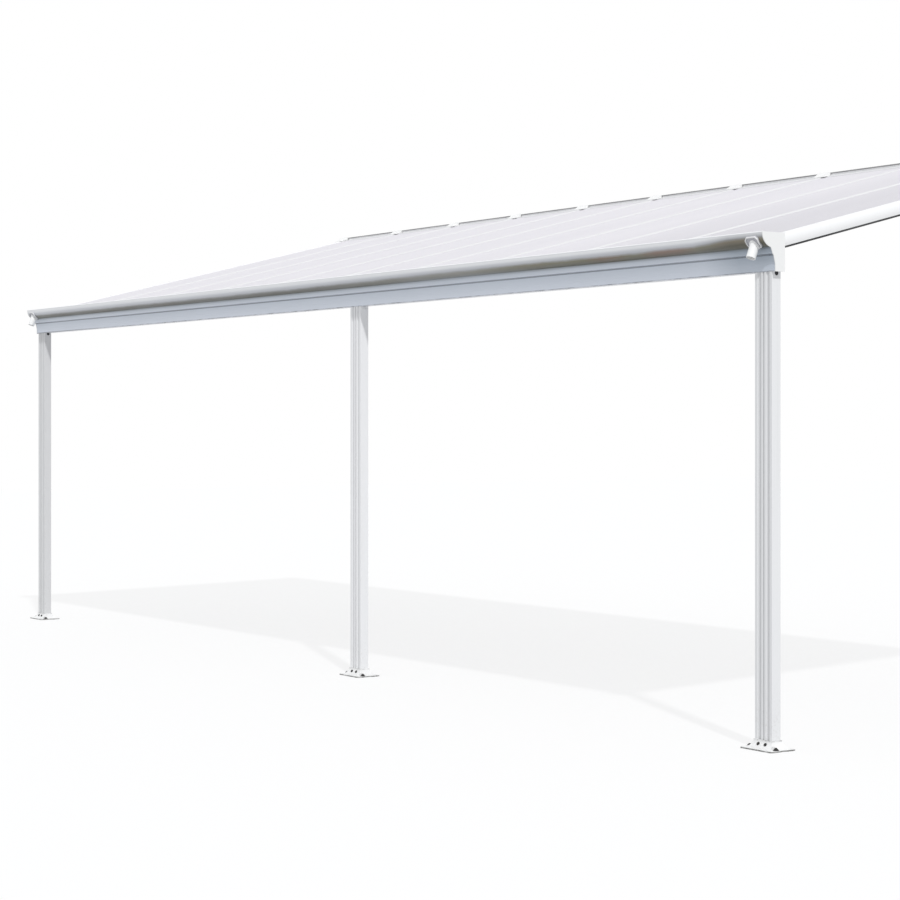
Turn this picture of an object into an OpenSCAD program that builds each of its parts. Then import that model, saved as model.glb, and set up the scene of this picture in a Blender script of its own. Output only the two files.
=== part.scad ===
// Lean-to cover for a terrace: clear twin-wall roof panels on sloping rafters,
// a wall ledger at the high side and a half-round gutter beam on three posts.
// X runs along the wall, +Y into the wall and +Z up. The origin lies on the
// wall face, behind the middle of the ledger.

/* [Roof] */
// Distance from one rafter to the next
pitch = 720; // [600:10:760]
// Level distance from the wall to the post line
roof_run = 2400; // [1800:50:3000]
// Slope of the roof in degrees
slope = 14; // [10:1:18]
// Height of the roof surface above the origin, at the wall
roof_top = 25; // [20:1:30]
// Thickness of one roof panel
panel_t = 10; // [6:1:12]
// Play between a panel and the spine of a rafter
panel_play = 1.5; // [1:0.5:3]

/* [Rafters] */
// Depth of a rafter with its cap
rafter_d = 60; // [52:1:66]
// Width of the hollow body of a rafter
rafter_w = 44; // [36:1:56]
// Wall thickness of a rafter
rafter_wall = 2.5; // [2:0.5:3]
// Width of the spine between two panels
spine_w = 6; // [4:1:8]
// Width of the cap that holds the panels down
cap_w = 44; // [36:2:52]
// Height of that cap
cap_h = 5; // [5:1:8]
// Reach of an end rafter beyond its spine
end_out = 46; // [40:1:48]
// Height of the dark strip under an end rafter
side_seal_h = 8; // [5:1:10]

/* [Gutter] */
// Clear height under the gutter
gutter_clear = 1950; // [1800:10:2300]
// Height of the gutter from its underside to its lip
gutter_h = 155; // [150:1:165]
// Radius of the half-round front
nose_r = 59; // [54:1:64]
// Wall thickness of the gutter
gutter_wall = 3; // [2.5:0.5:3.5]
// Depth of the hollow beam behind the front face
beam_d = 50; // [46:1:58]
// Height of the flat front face
fascia_h = 63; // [56:1:66]
// Reach of the brow between the front face and the half-round front
brow = 22; // [18:1:26]
// Reach of the front face beyond the post line
fascia_out = 67; // [55:1:72]
// Height of the roof surface above the underside, at the post line
roof_over = 160; // [158:1:166]
// Reach of the gutter beyond the end rafter line
gutter_out = 50; // [50:1:70]
// Thickness of the end plates
end_cap_t = 4; // [3:0.5:6]

/* [Spouts] */
// Outer diameter of a spout
spout_d = 40; // [36:1:46]
// Wall thickness of a spout
spout_wall = 2.5; // [2:0.5:4]
// Length of the free part of a spout
spout_l = 62; // [50:2:110]
// Lean of a spout away from the vertical, in degrees
spout_lean = 22; // [15:1:35]
// Distance of a spout from the end of the gutter
spout_in = 65; // [60:5:200]
// Place of a spout round the half-round front, in degrees from its bottom
spout_at = 40; // [34:1:44]
// Width of the collar round a spout
collar_w = 76; // [70:2:90]
// Height of that collar
collar_h = 58; // [52:2:64]
// Place of its middle round the half-round front, in degrees
collar_at = 49; // [44:1:54]
// Thickness of that collar
collar_t = 4; // [3:1:6]
// Width and rise of the rim round the collar
rim = 4; // [3:1:5]

/* [Posts] */
// Width of a post along the gutter
post_w = 100; // [90:1:110]
// Depth of a post
post_d = 48; // [44:1:50]
// Wall thickness of a post
post_wall = 3; // [2:0.5:4]
// Depth of the broad flutes
flute_depth = 5; // [3:0.5:6]
// Radius of the opening at the head of a post
head_r = 10; // [6:1:14]
// Distance of the end posts from the middle of the roof
post_end_x = 3580; // [2900:10:3800]
// Distance of the middle post from the middle of the roof
post_mid_x = 450; // [-600:10:600]

/* [Feet] */
// Width of a foot plate
foot_w = 190; // [170:2:220]
// Depth of a foot plate
foot_d = 140; // [130:2:160]
// Thickness of a foot plate
foot_t = 6; // [5:1:8]
// Height of the curved flare of a foot
flare_h = 34; // [26:1:38]
// Radius of the rounded corners of a foot
foot_corner = 13; // [8:1:20]
// Depth of the waist at the ends of a foot
waist = 4; // [2:1:6]
// Spacing of the two screws that hold a post in its foot
post_screw_x = 42; // [30:2:60]
// Radius of their holes
post_screw_r = 3.5; // [2.5:0.5:4]
// Play of a post in its foot
post_play = 0.3; // [0.2:0.1:0.5]
// Radius of the ground anchor holes
anchor_r = 5.5; // [4:0.5:6]
// Spacing of the two anchor holes of a foot
anchor_x = 156; // [150:1:162]
// Distance of the anchor holes in front of the middle of their foot
anchor_front = 28; // [24:1:34]
// Radius of the pocket that clears an anchor
pocket_r = 18; // [14:1:19]

/* [Ledger] */
// Thickness of the ledger plate on the wall
ledger_t = 4; // [3:0.5:6]
// Height of the ledger above the roof surface
ledger_up = 8; // [6:1:16]
// Height of the screw flange below the shelf
ledger_down = 46; // [40:1:60]
// Depth of the shelf under the rafters
shelf_d = 72; // [60:1:90]
// Depth of the lip over the panels
lip_d = 42; // [34:1:48]
// Height of the dark strip on top of the ledger
wall_seal_h = 6; // [4:1:8]
// Width of the cover over the upper end of a rafter
hood_w = 76; // [60:2:90]
// Radius of the wall screw holes
wall_hole_r = 4; // [3:0.5:5]

/* [Hidden] */
$fn = 64;
bays = 10;
half = bays * pitch / 2;
gutter_half = half + gutter_out;
ledger_half = half + end_out;
fascia_y = -roof_run - fascia_out;
gutter_z = roof_top - roof_run * tan(slope) - roof_over;
ground_z = gutter_z - gutter_clear;
panel_top = -cap_h;
panel_low = panel_top - panel_t;
nose_y = -12;
nose_low = gutter_h - nose_r;
trough_back = 12;
trough_rise = 30;
drip_y = -8;
waist_r = 40;
rafter_lip = 24;
white = "#f4f5f6";
shade = "#e3e4ea";
dark = "#3a3d40";

// Height of the rafter seat above the gutter underside, at a depth y
function seat_z(y) = roof_over + (y - fascia_out) * tan(slope) - rafter_d / cos(slope);
// Distance down the slope of a point at a depth y of the gutter and a height n
function down_slope(y, n) = -(fascia_y + y + n * sin(slope)) / cos(slope);

// Moves a piece into the plane of the roof
module on_roof(x) {
  translate([x, 0, roof_top])
    rotate([slope, 0, 0])
      children();
}

// Runs an outline down the slope, from a level distance to a slope distance
module run_down(from, to) {
  translate([0, -from, 0])
    rotate([90, 0, 0])
      linear_extrude(to - from)
        children();
}

// Runs an outline of depth and height along the wall
module run_along(from, to) {
  translate([from, 0, 0])
    rotate([90, 0, 90])
      linear_extrude(to - from)
        children();
}

// Wall ledger

function roof_z(y) = roof_top + y * tan(slope);

module ledger_outline() {
  shelf_drop = rafter_d / cos(slope);
  lip_low = (panel_top + 0.3) / cos(slope);
  lip_high = lip_low + 4;
  plate_low = roof_top - shelf_drop - ledger_down;
  translate([-ledger_t, plate_low])
    square([ledger_t, roof_top + ledger_up - plate_low]);
  polygon([
    [-1, roof_z(-1) - shelf_drop],
    [-shelf_d, roof_z(-shelf_d) - shelf_drop],
    [-shelf_d, roof_z(-shelf_d) - shelf_drop - 4],
    [-1, roof_z(-1) - shelf_drop - 4]
  ]);
  polygon([
    [-1, roof_z(-1) + lip_low],
    [-1, roof_z(-1) + lip_high],
    [-lip_d, roof_z(-lip_d) + lip_high],
    [-lip_d, roof_z(-lip_d) + lip_low]
  ]);
}

module wall_ledger() {
  hole_z = roof_top - rafter_d / cos(slope) - ledger_down / 2;
  color(white)
    difference() {
      run_along(-ledger_half, ledger_half)
        ledger_outline();
      for (i = [0:bays - 1])
        translate([(i + 0.5) * pitch - half, 1, hole_z])
          rotate([90, 0, 0])
            cylinder(h = ledger_t + 2, r = wall_hole_r);
      for (i = [1:bays - 1])
        on_roof(i * pitch - half)
          translate([-spine_w / 2 - 1, -lip_d - 20, panel_low])
            cube([spine_w + 2, lip_d + 12, panel_t + 5.4]);
      for (s = [-1, 1])
        on_roof(s * (half + end_out / 2 - rafter_lip / 2))
          translate([-end_out / 2 - rafter_lip / 2 - 1, -lip_d - 20, panel_low])
            cube([end_out + rafter_lip + 3, lip_d + 12, panel_t + 6]);
    }
}

module wall_seal() {
  color(dark)
    run_along(-ledger_half, ledger_half)
      translate([-ledger_t - 3, roof_top + ledger_up])
        square([ledger_t + 3, wall_seal_h]);
}

module ledger_cap(x) {
  color(white)
    run_along(x, x + end_cap_t)
      polygon([
        [0, roof_top - rafter_d / cos(slope) - ledger_down],
        [0, roof_top + ledger_up + wall_seal_h],
        [-10, roof_top + ledger_up + wall_seal_h],
        [-shelf_d - 3, roof_z(-shelf_d) + 3],
        [-shelf_d - 3, roof_z(-shelf_d) - rafter_d / cos(slope) - 6],
        [-10, roof_top - rafter_d / cos(slope) - ledger_down]
      ]);
}

module ledger_cap_left() {
  ledger_cap(-ledger_half - end_cap_t);
}

module ledger_cap_right() {
  ledger_cap(ledger_half);
}

// Gutter beam

// Hollow of the beam, a wall thickness inside its outline
module beam_hollow() {
  t = gutter_wall;
  polygon([
    [t, t],
    [beam_d - t, t],
    [beam_d - t, seat_z(beam_d - t) - t],
    [trough_back, seat_z(trough_back) - t],
    [trough_back, nose_low],
    [nose_y, nose_low],
    [6 - brow, nose_low],
    [13 - brow, fascia_h + 11],
    [t - 5, fascia_h + 9],
    [t - 5, fascia_h - 2],
    [t - 2, fascia_h * 0.6],
    [t, fascia_h * 0.45]
  ]);
}

module gutter_outline() {
  difference() {
    union() {
      polygon([
        [0, 0],
        [beam_d, 0],
        [beam_d, seat_z(beam_d)],
        [trough_back + gutter_wall, seat_z(trough_back + gutter_wall)],
        [trough_back + gutter_wall, nose_low + trough_rise],
        [trough_back, nose_low + trough_rise],
        [trough_back, nose_low + gutter_wall],
        [nose_y, nose_low + gutter_wall],
        [-brow, nose_low + gutter_wall],
        [9 - brow, fascia_h + 8],
        [-5, fascia_h + 6],
        [-5, fascia_h + 1],
        [-8, fascia_h],
        [-2, fascia_h * 0.6],
        [0, fascia_h * 0.45]
      ]);
      intersection() {
        translate([nose_y, gutter_h])
          difference() {
            circle(r = nose_r);
            circle(r = nose_r - gutter_wall);
          }
        translate([nose_y - nose_r, nose_low])
          square([nose_r, nose_r]);
      }
      translate([nose_y - nose_r + gutter_wall, gutter_h])
        circle(r = 4);
    }
    beam_hollow();
  }
}

// Places a piece in the middle of a spout, along its axis
module at_spout(x) {
  translate([
    x,
    fascia_y + nose_y - nose_r * sin(spout_at),
    gutter_z + gutter_h - nose_r * cos(spout_at)
  ])
    rotate([180 - spout_lean, 0, 0])
      children();
}

module gutter() {
  color(white)
    difference() {
      translate([0, fascia_y, gutter_z])
        run_along(-gutter_half, gutter_half)
          gutter_outline();
      for (s = [-1, 1])
        at_spout(s * (gutter_half - spout_in))
          translate([0, 0, -30])
            cylinder(h = 60, r = spout_d / 2 - spout_wall);
    }
}

module end_cap_outline() {
  polygon([
    [-1.5, -1.5],
    [beam_d + 1, -1.5],
    [beam_d + 1, gutter_h + 2.5],
    [nose_y, gutter_h + 2.5],
    [nose_y, nose_low],
    [-brow - 4, nose_low],
    [6 - brow, fascia_h + 8],
    [-10, fascia_h],
    [-4, fascia_h * 0.6],
    [-1.5, fascia_h * 0.45]
  ]);
  intersection() {
    translate([nose_y, gutter_h])
      circle(r = nose_r + 2);
    translate([nose_y - nose_r - 2, nose_low - 2])
      square([nose_r + 2, nose_r + 4.5]);
  }
}

module gutter_cap(x) {
  color(white)
    translate([0, fascia_y, gutter_z])
      run_along(x, x + end_cap_t)
        end_cap_outline();
}

module gutter_cap_left() {
  gutter_cap(-gutter_half - end_cap_t);
}

module gutter_cap_right() {
  gutter_cap(gutter_half);
}

// Places a piece on the axis of the half-round front, at one spout
module at_nose(x) {
  translate([x, fascia_y + nose_y, gutter_z + gutter_h])
    children();
}

module nose_round(x, r) {
  at_nose(x - collar_w)
    rotate([0, 90, 0])
      cylinder(h = 2 * collar_w, r = r);
}

module collar_outline(inset) {
  a = collar_w / 2 - inset;
  b = collar_h / 2 - inset;
  c = 12 - inset / 2;
  polygon([
    [-a, c - b],
    [-a, b - c],
    [c - a, b],
    [a - c, b],
    [a, b - c],
    [a, c - b],
    [a - c, -b],
    [c - a, -b]
  ]);
}

module collar_block(x, inset) {
  at_nose(x)
    rotate([180 - collar_at, 0, 0])
      linear_extrude(2 * nose_r)
        collar_outline(inset);
}

module collar(x) {
  difference() {
    intersection() {
      nose_round(x, nose_r + collar_t + rim);
      collar_block(x, 0);
    }
    difference() {
      collar_block(x, rim);
      nose_round(x, nose_r + collar_t);
    }
  }
}

module spout(x) {
  color(white)
    difference() {
      union() {
        at_spout(x)
          translate([0, 0, -30])
            cylinder(h = spout_l + 30, r = spout_d / 2);
        collar(x);
        intersection() {
          nose_round(x, nose_r + 2 * collar_t + 2);
          at_spout(x)
            translate([0, 0, -30])
              cylinder(h = 60, r = spout_d / 2 + 4);
        }
      }
      nose_round(x, nose_r);
      at_spout(x)
        translate([0, 0, -40])
          cylinder(h = spout_l + 50, r = spout_d / 2 - spout_wall);
    }
}

module spout_left() {
  spout(-gutter_half + spout_in);
}

module spout_right() {
  spout(gutter_half - spout_in);
}

// Posts and feet

module post_outline() {
  difference() {
    square([post_w, post_d], center = true);
    square([post_w - 2 * post_wall - 2 * flute_depth, post_d - 2 * post_wall - 2 * flute_depth], center = true);
    for (m = [-1, 1]) {
      for (s = [-1, 1])
        translate([s * post_w / 4, m * (post_d / 2 + 15 - flute_depth)])
          circle(r = 15);
      translate([0, m * (post_d / 2 + 5 - flute_depth + 1)])
        circle(r = 5);
    }
  }
}

module post(x) {
  color(white)
    translate([x, fascia_y + beam_d / 2, ground_z + foot_t])
      difference() {
        linear_extrude(gutter_clear - foot_t)
          post_outline();
        translate([-post_w, 2, gutter_clear - foot_t - head_r * 0.6])
          rotate([0, 90, 0])
            cylinder(h = 2 * post_w, r = head_r);
      }
}

module post_left() {
  post(-post_end_x);
}

module post_middle() {
  post(post_mid_x);
}

module post_right() {
  post(post_end_x);
}

module foot_outline() {
  square([foot_w - 2 * foot_corner, foot_d], center = true);
  square([foot_w, foot_d - 2 * foot_corner], center = true);
  for (sx = [-1, 1])
    for (sy = [-1, 1])
      translate([sx * (foot_w / 2 - foot_corner), sy * (foot_d / 2 - foot_corner)])
        circle(r = foot_corner);
}

module foot(x) {
  sleeve_w = post_w + 2 * post_play + 8;
  sleeve_d = post_d + 2 * post_play + 8;
  color(white)
    translate([x, fascia_y + beam_d / 2, ground_z])
      difference() {
        union() {
          linear_extrude(foot_t)
            foot_outline();
          difference() {
            translate([-sleeve_w / 2 - flare_h, -sleeve_d / 2 - flare_h, foot_t])
              cube([sleeve_w + 2 * flare_h, sleeve_d + 2 * flare_h, flare_h]);
            for (s = [-1, 1]) {
              translate([s * (sleeve_w / 2 + flare_h), foot_d, foot_t + flare_h])
                rotate([90, 0, 0])
                  cylinder(h = 2 * foot_d, r = flare_h);
              translate([-foot_w, s * (sleeve_d / 2 + flare_h), foot_t + flare_h])
                rotate([0, 90, 0])
                  cylinder(h = 2 * foot_w, r = flare_h);
            }
          }
        }
        translate([-post_w / 2 - post_play, -post_d / 2 - post_play, foot_t])
          cube([post_w + 2 * post_play, post_d + 2 * post_play, flare_h + 1]);
        for (sx = [-1, 1]) {
          translate([sx * anchor_x / 2, -anchor_front, -1])
            cylinder(h = foot_t + 2, r = anchor_r);
          translate([sx * anchor_x / 2, -anchor_front, foot_t]) {
            cylinder(h = flare_h + 1, r = pocket_r);
            translate([-foot_w / 2 + sx * foot_w / 2, -pocket_r, 0])
              cube([foot_w, 2 * pocket_r, flare_h + 1]);
          }
        }
        for (sx = [-1, 1])
          translate([sx * post_screw_x / 2, foot_d, foot_t + flare_h * 0.5])
            rotate([90, 0, 0])
              cylinder(h = 2 * foot_d, r = post_screw_r);
        for (sx = [-1, 1])
          translate([sx * (foot_w / 2 + waist_r - waist), 0, -1])
            cylinder(h = flare_h + foot_t, r = waist_r);
      }
}

module foot_left() {
  foot(-post_end_x);
}

module foot_middle() {
  foot(post_mid_x);
}

module foot_right() {
  foot(post_end_x);
}

// Rafters

module rafter_outline() {
  translate([-rafter_w / 2, -rafter_d])
    difference() {
      square([rafter_w, rafter_d + panel_low]);
      translate([rafter_wall, rafter_wall])
        square([rafter_w - 2 * rafter_wall, rafter_d + panel_low - 2 * rafter_wall]);
    }
  translate([-spine_w / 2, panel_low])
    square([spine_w, panel_t + 3.5]);
}

module rafter(i) {
  color(white)
    on_roof(i * pitch - half)
      run_down(ledger_t + 18, down_slope(18, panel_low))
        rafter_outline();
}

module end_rafter_outline() {
  bow = 62;
  difference() {
    union() {
      translate([-rafter_w / 2, -rafter_d])
        square([rafter_w, rafter_d + panel_low]);
      intersection() {
        translate([end_out - bow, -rafter_d * 0.55])
          circle(r = bow);
        translate([-spine_w / 2, -rafter_d])
          square([end_out + spine_w, rafter_d]);
      }
      translate([-rafter_lip, panel_top])
        square([rafter_lip, 3]);
    }
    translate([rafter_wall - rafter_w / 2, rafter_wall - rafter_d])
      square([rafter_w / 2 + end_out - 18, rafter_d + panel_low - 2 * rafter_wall]);
    translate([end_out - 10, -rafter_d - 1])
      square([12, side_seal_h + 1]);
  }
}

module rafter_left() {
  color(white)
    on_roof(-half)
      run_down(ledger_t + 18, down_slope(18, panel_low))
        mirror([1, 0])
          end_rafter_outline();
}

module rafter_right() {
  color(white)
    on_roof(half)
      run_down(ledger_t + 18, down_slope(18, panel_low))
        end_rafter_outline();
}

module side_seal_outline() {
  translate([end_out - 9.8, -rafter_d])
    square([6.5, side_seal_h - 0.1]);
}

module side_seals() {
  color(dark) {
    on_roof(half)
      run_down(ledger_t + 18, down_slope(18, panel_low))
        side_seal_outline();
    on_roof(-half)
      run_down(ledger_t + 18, down_slope(18, panel_low))
        mirror([1, 0])
          side_seal_outline();
  }
}

module cap_outline() {
  edge = cap_w / 2;
  difference() {
    polygon([
      [-edge, -cap_h],
      [edge, -cap_h],
      [edge, -cap_h * 0.72],
      [edge * 0.7, -cap_h * 0.18],
      [edge * 0.38, 0],
      [-edge * 0.38, 0],
      [-edge * 0.7, -cap_h * 0.18],
      [-edge, -cap_h * 0.72]
    ]);
    translate([-spine_w / 2 - 0.2, -cap_h - 1])
      square([spine_w + 0.4, 4.7]);
  }
}

module rafter_caps() {
  color(white)
    for (i = [1:bays - 1])
      on_roof(i * pitch - half)
        run_down(lip_d / cos(slope) + 6, down_slope(drip_y, 0))
          cap_outline();
}

module hood_outline() {
  back = -ledger_t - 4;
  front = -lip_d - 22;
  top = roof_top + ledger_up + wall_seal_h + 3;
  polygon([
    [front, roof_z(front) + 0.3],
    [back, roof_z(back) + 0.3],
    [back, top],
    [back - 14, top],
    [front, roof_z(front) + 5]
  ]);
}

module rafter_hoods() {
  color(white) {
    for (i = [1:bays - 1])
      run_along(i * pitch - half - hood_w / 2, i * pitch - half + hood_w / 2)
        hood_outline();
    run_along(half - rafter_lip, half + end_out)
      hood_outline();
    run_along(-half - end_out, -half + rafter_lip)
      hood_outline();
  }
}

// Roof panels

module panel(i) {
  color(shade)
    on_roof((i - 0.5) * pitch - half)
      translate([-(pitch - spine_w) / 2 + panel_play, -down_slope(drip_y, panel_top), panel_low])
        cube([
          pitch - spine_w - 2 * panel_play,
          down_slope(drip_y, panel_top) - ledger_t - 10,
          panel_t
        ]);
}

module panel_trims() {
  wide = pitch - cap_w - 4;
  front = down_slope(drip_y, panel_top);
  color(white)
    for (i = [1:bays])
      on_roof((i - 0.5) * pitch - half)
        translate([-wide / 2, -front - 2, panel_low - 1.5])
          difference() {
            cube([wide, 18, panel_t + 3]);
            translate([-1, 2, 1.5])
              cube([wide + 2, 17, panel_t]);
          }
}

wall_ledger();
wall_seal();
ledger_cap_left();
ledger_cap_right();
gutter();
gutter_cap_left();
gutter_cap_right();
spout_left();
spout_right();
post_left();
post_middle();
post_right();
foot_left();
foot_middle();
foot_right();
rafter_left();
rafter(1);  // rafter_1
rafter(2);  // rafter_2
rafter(3);  // rafter_3
rafter(4);  // rafter_4
rafter(5);  // rafter_5
rafter(6);  // rafter_6
rafter(7);  // rafter_7
rafter(8);  // rafter_8
rafter(9);  // rafter_9
rafter_right();
rafter_caps();
rafter_hoods();
panel(1);  // panel_1
panel(2);  // panel_2
panel(3);  // panel_3
panel(4);  // panel_4
panel(5);  // panel_5
panel(6);  // panel_6
panel(7);  // panel_7
panel(8);  // panel_8
panel(9);  // panel_9
panel(10);  // panel_10
panel_trims();
side_seals();
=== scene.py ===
import bpy
import math
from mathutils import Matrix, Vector


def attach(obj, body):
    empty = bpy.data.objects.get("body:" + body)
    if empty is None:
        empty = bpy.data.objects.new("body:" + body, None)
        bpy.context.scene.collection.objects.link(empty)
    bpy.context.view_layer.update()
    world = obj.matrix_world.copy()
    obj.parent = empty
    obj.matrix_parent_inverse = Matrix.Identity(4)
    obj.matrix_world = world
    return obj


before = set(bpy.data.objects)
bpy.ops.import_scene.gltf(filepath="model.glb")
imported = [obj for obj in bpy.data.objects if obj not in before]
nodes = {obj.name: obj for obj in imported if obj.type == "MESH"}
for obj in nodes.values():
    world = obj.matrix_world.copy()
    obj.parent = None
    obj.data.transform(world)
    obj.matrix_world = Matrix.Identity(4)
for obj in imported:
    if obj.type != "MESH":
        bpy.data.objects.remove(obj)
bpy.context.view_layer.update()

# the cover's own plan in metres, as the solids have it
plan = {
    "slope": math.radians(14.0),
    "pitch": 0.72,
    "bays": 10,
    "roofTop": 0.025,           # top of the rafters at the wall
    "fasciaY": -2.467,          # the gutter's flat front
    "noseAhead": 0.012,         # the nose's own middle, in front of the flat front
    "noseUp": 0.155,            # and over the gutter's underside
    "gutterZ": -0.733387,       # the gutter's underside
    "groundZ": -2.683387,
    "postX": (-3.58, 0.45, 3.58),
    "postY": -2.442,
}
plan["half"] = plan["pitch"] * plan["bays"] / 2

shot = {
    "place": (10.0589, -8.4933, -1.3548),
    "turn": 55.3792,            # degrees from straight at the wall
    "lens": 85.81,
    "sensor": 36.0,
    "rise": -0.0287,            # shift of the frame
    "reach": 200.0,
}

studio = {
    "skyLight": 0.71,
    "skyTint": (0.95, 0.97, 1.0, 1),
    "sunPower": 1.55,
    "sunSoftness": 2.0,         # degrees
    "sunFrom": (0.635, -0.255, 0.73),
    "floorBounce": (0.55, 0.55, 0.55, 1),
    "floorMatt": (0.95, 0.95, 0.95, 1),
    "floorShadow": 0.2,         # share of the matt floor in what is seen, which takes the shadow
    "floorSize": 60.0,
    "floorY": -2.0,
    "floorGap": 0.0005,
}
pureWhite = (1, 1, 1, 1)


def clearPick():
    if bpy.context.mode != "OBJECT":
        bpy.ops.object.mode_set(mode="OBJECT")
    bpy.ops.object.select_all(action="DESELECT")


def pickOnly(piece):
    clearPick()
    piece.select_set(True)
    bpy.context.view_layer.objects.active = piece


def settlePlace(piece):
    # puts the place and turn of a piece into its mesh
    pickOnly(piece)
    bpy.ops.object.transform_apply(location=True, rotation=True, scale=True)


def makeCamera():
    data = bpy.data.cameras.new("gardenView")
    data.lens = shot["lens"]
    data.sensor_width = shot["sensor"]
    data.shift_y = shot["rise"]
    data.clip_end = shot["reach"]
    camera = bpy.data.objects.new("gardenView", data)
    camera.location = shot["place"]
    camera.rotation_euler = (math.radians(90), 0.0, math.radians(shot["turn"]))
    bpy.context.scene.collection.objects.link(camera)
    bpy.context.scene.camera = camera


def seenFactor(tree):
    # one where a camera, glossy or see-through ray looks, nought for plain light
    paths = tree.nodes.new("ShaderNodeLightPath")
    first = tree.nodes.new("ShaderNodeMath")
    first.operation = "MAXIMUM"
    second = tree.nodes.new("ShaderNodeMath")
    second.operation = "MAXIMUM"
    tree.links.new(paths.outputs["Is Camera Ray"], first.inputs[0])
    tree.links.new(paths.outputs["Is Glossy Ray"], first.inputs[1])
    tree.links.new(first.outputs[0], second.inputs[0])
    tree.links.new(paths.outputs["Is Transmission Ray"], second.inputs[1])
    return second.outputs[0]


def plainShader(tree, kind, colour):
    node = tree.nodes.new(kind)
    node.inputs["Color"].default_value = colour
    return node


def mixShader(tree, factor, first, second):
    node = tree.nodes.new("ShaderNodeMixShader")
    if isinstance(factor, float):
        node.inputs[0].default_value = factor
    else:
        tree.links.new(factor, node.inputs[0])
    tree.links.new(first.outputs[0], node.inputs[1])
    tree.links.new(second.outputs[0], node.inputs[2])
    return node


def makeSky():
    # plain soft light, seen as white
    world = bpy.data.worlds.new("paleStudio")
    bpy.context.scene.world = world
    world.use_nodes = True
    tree = world.node_tree
    tree.nodes.clear()
    light = plainShader(tree, "ShaderNodeBackground", studio["skyTint"])
    light.inputs["Strength"].default_value = studio["skyLight"]
    seen = plainShader(tree, "ShaderNodeBackground", pureWhite)
    out = tree.nodes.new("ShaderNodeOutputWorld")
    tree.links.new(mixShader(tree, seenFactor(tree), light, seen).outputs[0], out.inputs["Surface"])


def makeSun():
    sun = bpy.data.lights.new("highSun", "SUN")
    sun.energy = studio["sunPower"]
    sun.angle = math.radians(studio["sunSoftness"])
    lamp = bpy.data.objects.new("highSun", sun)
    lamp.rotation_euler = Vector(studio["sunFrom"]).to_track_quat("Z", "Y").to_euler()
    bpy.context.scene.collection.objects.link(lamp)


def makeFloor():
    # seen nearly white with the cover's shadow on it, and throwing back less light than it shows
    clearPick()
    place = (0, studio["floorY"], plan["groundZ"] - studio["floorGap"])
    bpy.ops.mesh.primitive_plane_add(size=studio["floorSize"], location=place)
    floor = bpy.context.active_object
    floor.name = "paleFloor"
    settlePlace(floor)
    paint = bpy.data.materials.new("paleFloor")
    paint.use_nodes = True
    tree = paint.node_tree
    tree.nodes.clear()
    glow = plainShader(tree, "ShaderNodeEmission", pureWhite)
    matt = plainShader(tree, "ShaderNodeBsdfDiffuse", studio["floorMatt"])
    dull = plainShader(tree, "ShaderNodeBsdfDiffuse", studio["floorBounce"])
    seen = mixShader(tree, studio["floorShadow"], glow, matt)
    out = tree.nodes.new("ShaderNodeOutputMaterial")
    tree.links.new(mixShader(tree, seenFactor(tree), dull, seen).outputs[0], out.inputs["Surface"])
    floor.data.materials.append(paint)


bpy.context.scene.view_settings.view_transform = "Standard"
makeCamera()
makeSky()
makeSun()
makeFloor()
print("camera and studio ready")


# small helpers for node trees

def mathNode(tree, kind, first, second=None, third=None, clamp=False):
    node = tree.nodes.new("ShaderNodeMath")
    node.operation = kind
    node.use_clamp = clamp
    for index, value in enumerate((first, second, third)):
        if value is None:
            continue
        if isinstance(value, (int, float)):
            node.inputs[index].default_value = value
        else:
            tree.links.new(value, node.inputs[index])
    return node.outputs[0]


def product(tree, first, *others):
    for other in others:
        first = mathNode(tree, "MULTIPLY", first, other)
    return first


def farFrom(tree, value, middle):
    # distance from a middle, to either side
    return mathNode(tree, "ABSOLUTE", mathNode(tree, "SUBTRACT", value, middle))


def mixColour(tree, factor, first, second):
    node = tree.nodes.new("ShaderNodeMix")
    node.data_type = "RGBA"
    for socket, value in ((node.inputs[0], factor), (node.inputs[6], first), (node.inputs[7], second)):
        if hasattr(value, "is_output"):
            tree.links.new(value, socket)
        else:
            socket.default_value = value
    return node.outputs[2]


def objectSpot(tree):
    return tree.nodes.new("ShaderNodeTexCoord").outputs["Object"]


def axesOf(tree, vector):
    split = tree.nodes.new("ShaderNodeSeparateXYZ")
    tree.links.new(vector, split.inputs[0])
    return split.outputs["X"], split.outputs["Y"], split.outputs["Z"]


def facingAxes(tree):
    return axesOf(tree, tree.nodes.new("ShaderNodeNewGeometry").outputs["Normal"])


def stretched(tree, vector, scale):
    node = tree.nodes.new("ShaderNodeMapping")
    if hasattr(scale, "is_output"):
        tree.links.new(scale, node.inputs["Scale"])
    else:
        node.inputs["Scale"].default_value = scale
    tree.links.new(vector, node.inputs["Vector"])
    return node.outputs[0]


def noiseNode(tree, vector, scale, detail, roughness):
    node = tree.nodes.new("ShaderNodeTexNoise")
    node.inputs["Scale"].default_value = scale
    node.inputs["Detail"].default_value = detail
    node.inputs["Roughness"].default_value = roughness
    tree.links.new(vector, node.inputs["Vector"])
    return node.outputs[0]


def spanNode(tree, value, low, high, toLow=0.0, toHigh=1.0):
    # runs from one number to the other as a value goes from low to high
    node = tree.nodes.new("ShaderNodeMapRange")
    ends = ("From Min", "From Max", "To Min", "To Max")
    for socket, number in zip(ends, (low, high, toLow, toHigh)):
        node.inputs[socket].default_value = number
    tree.links.new(value, node.inputs["Value"])
    return node.outputs[0]


def bumpNode(tree, height, strength, distance):
    node = tree.nodes.new("ShaderNodeBump")
    node.inputs["Distance"].default_value = distance
    if isinstance(strength, float):
        node.inputs["Strength"].default_value = strength
    else:
        tree.links.new(strength, node.inputs["Strength"])
    tree.links.new(height, node.inputs["Height"])
    return node.outputs[0]


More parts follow.
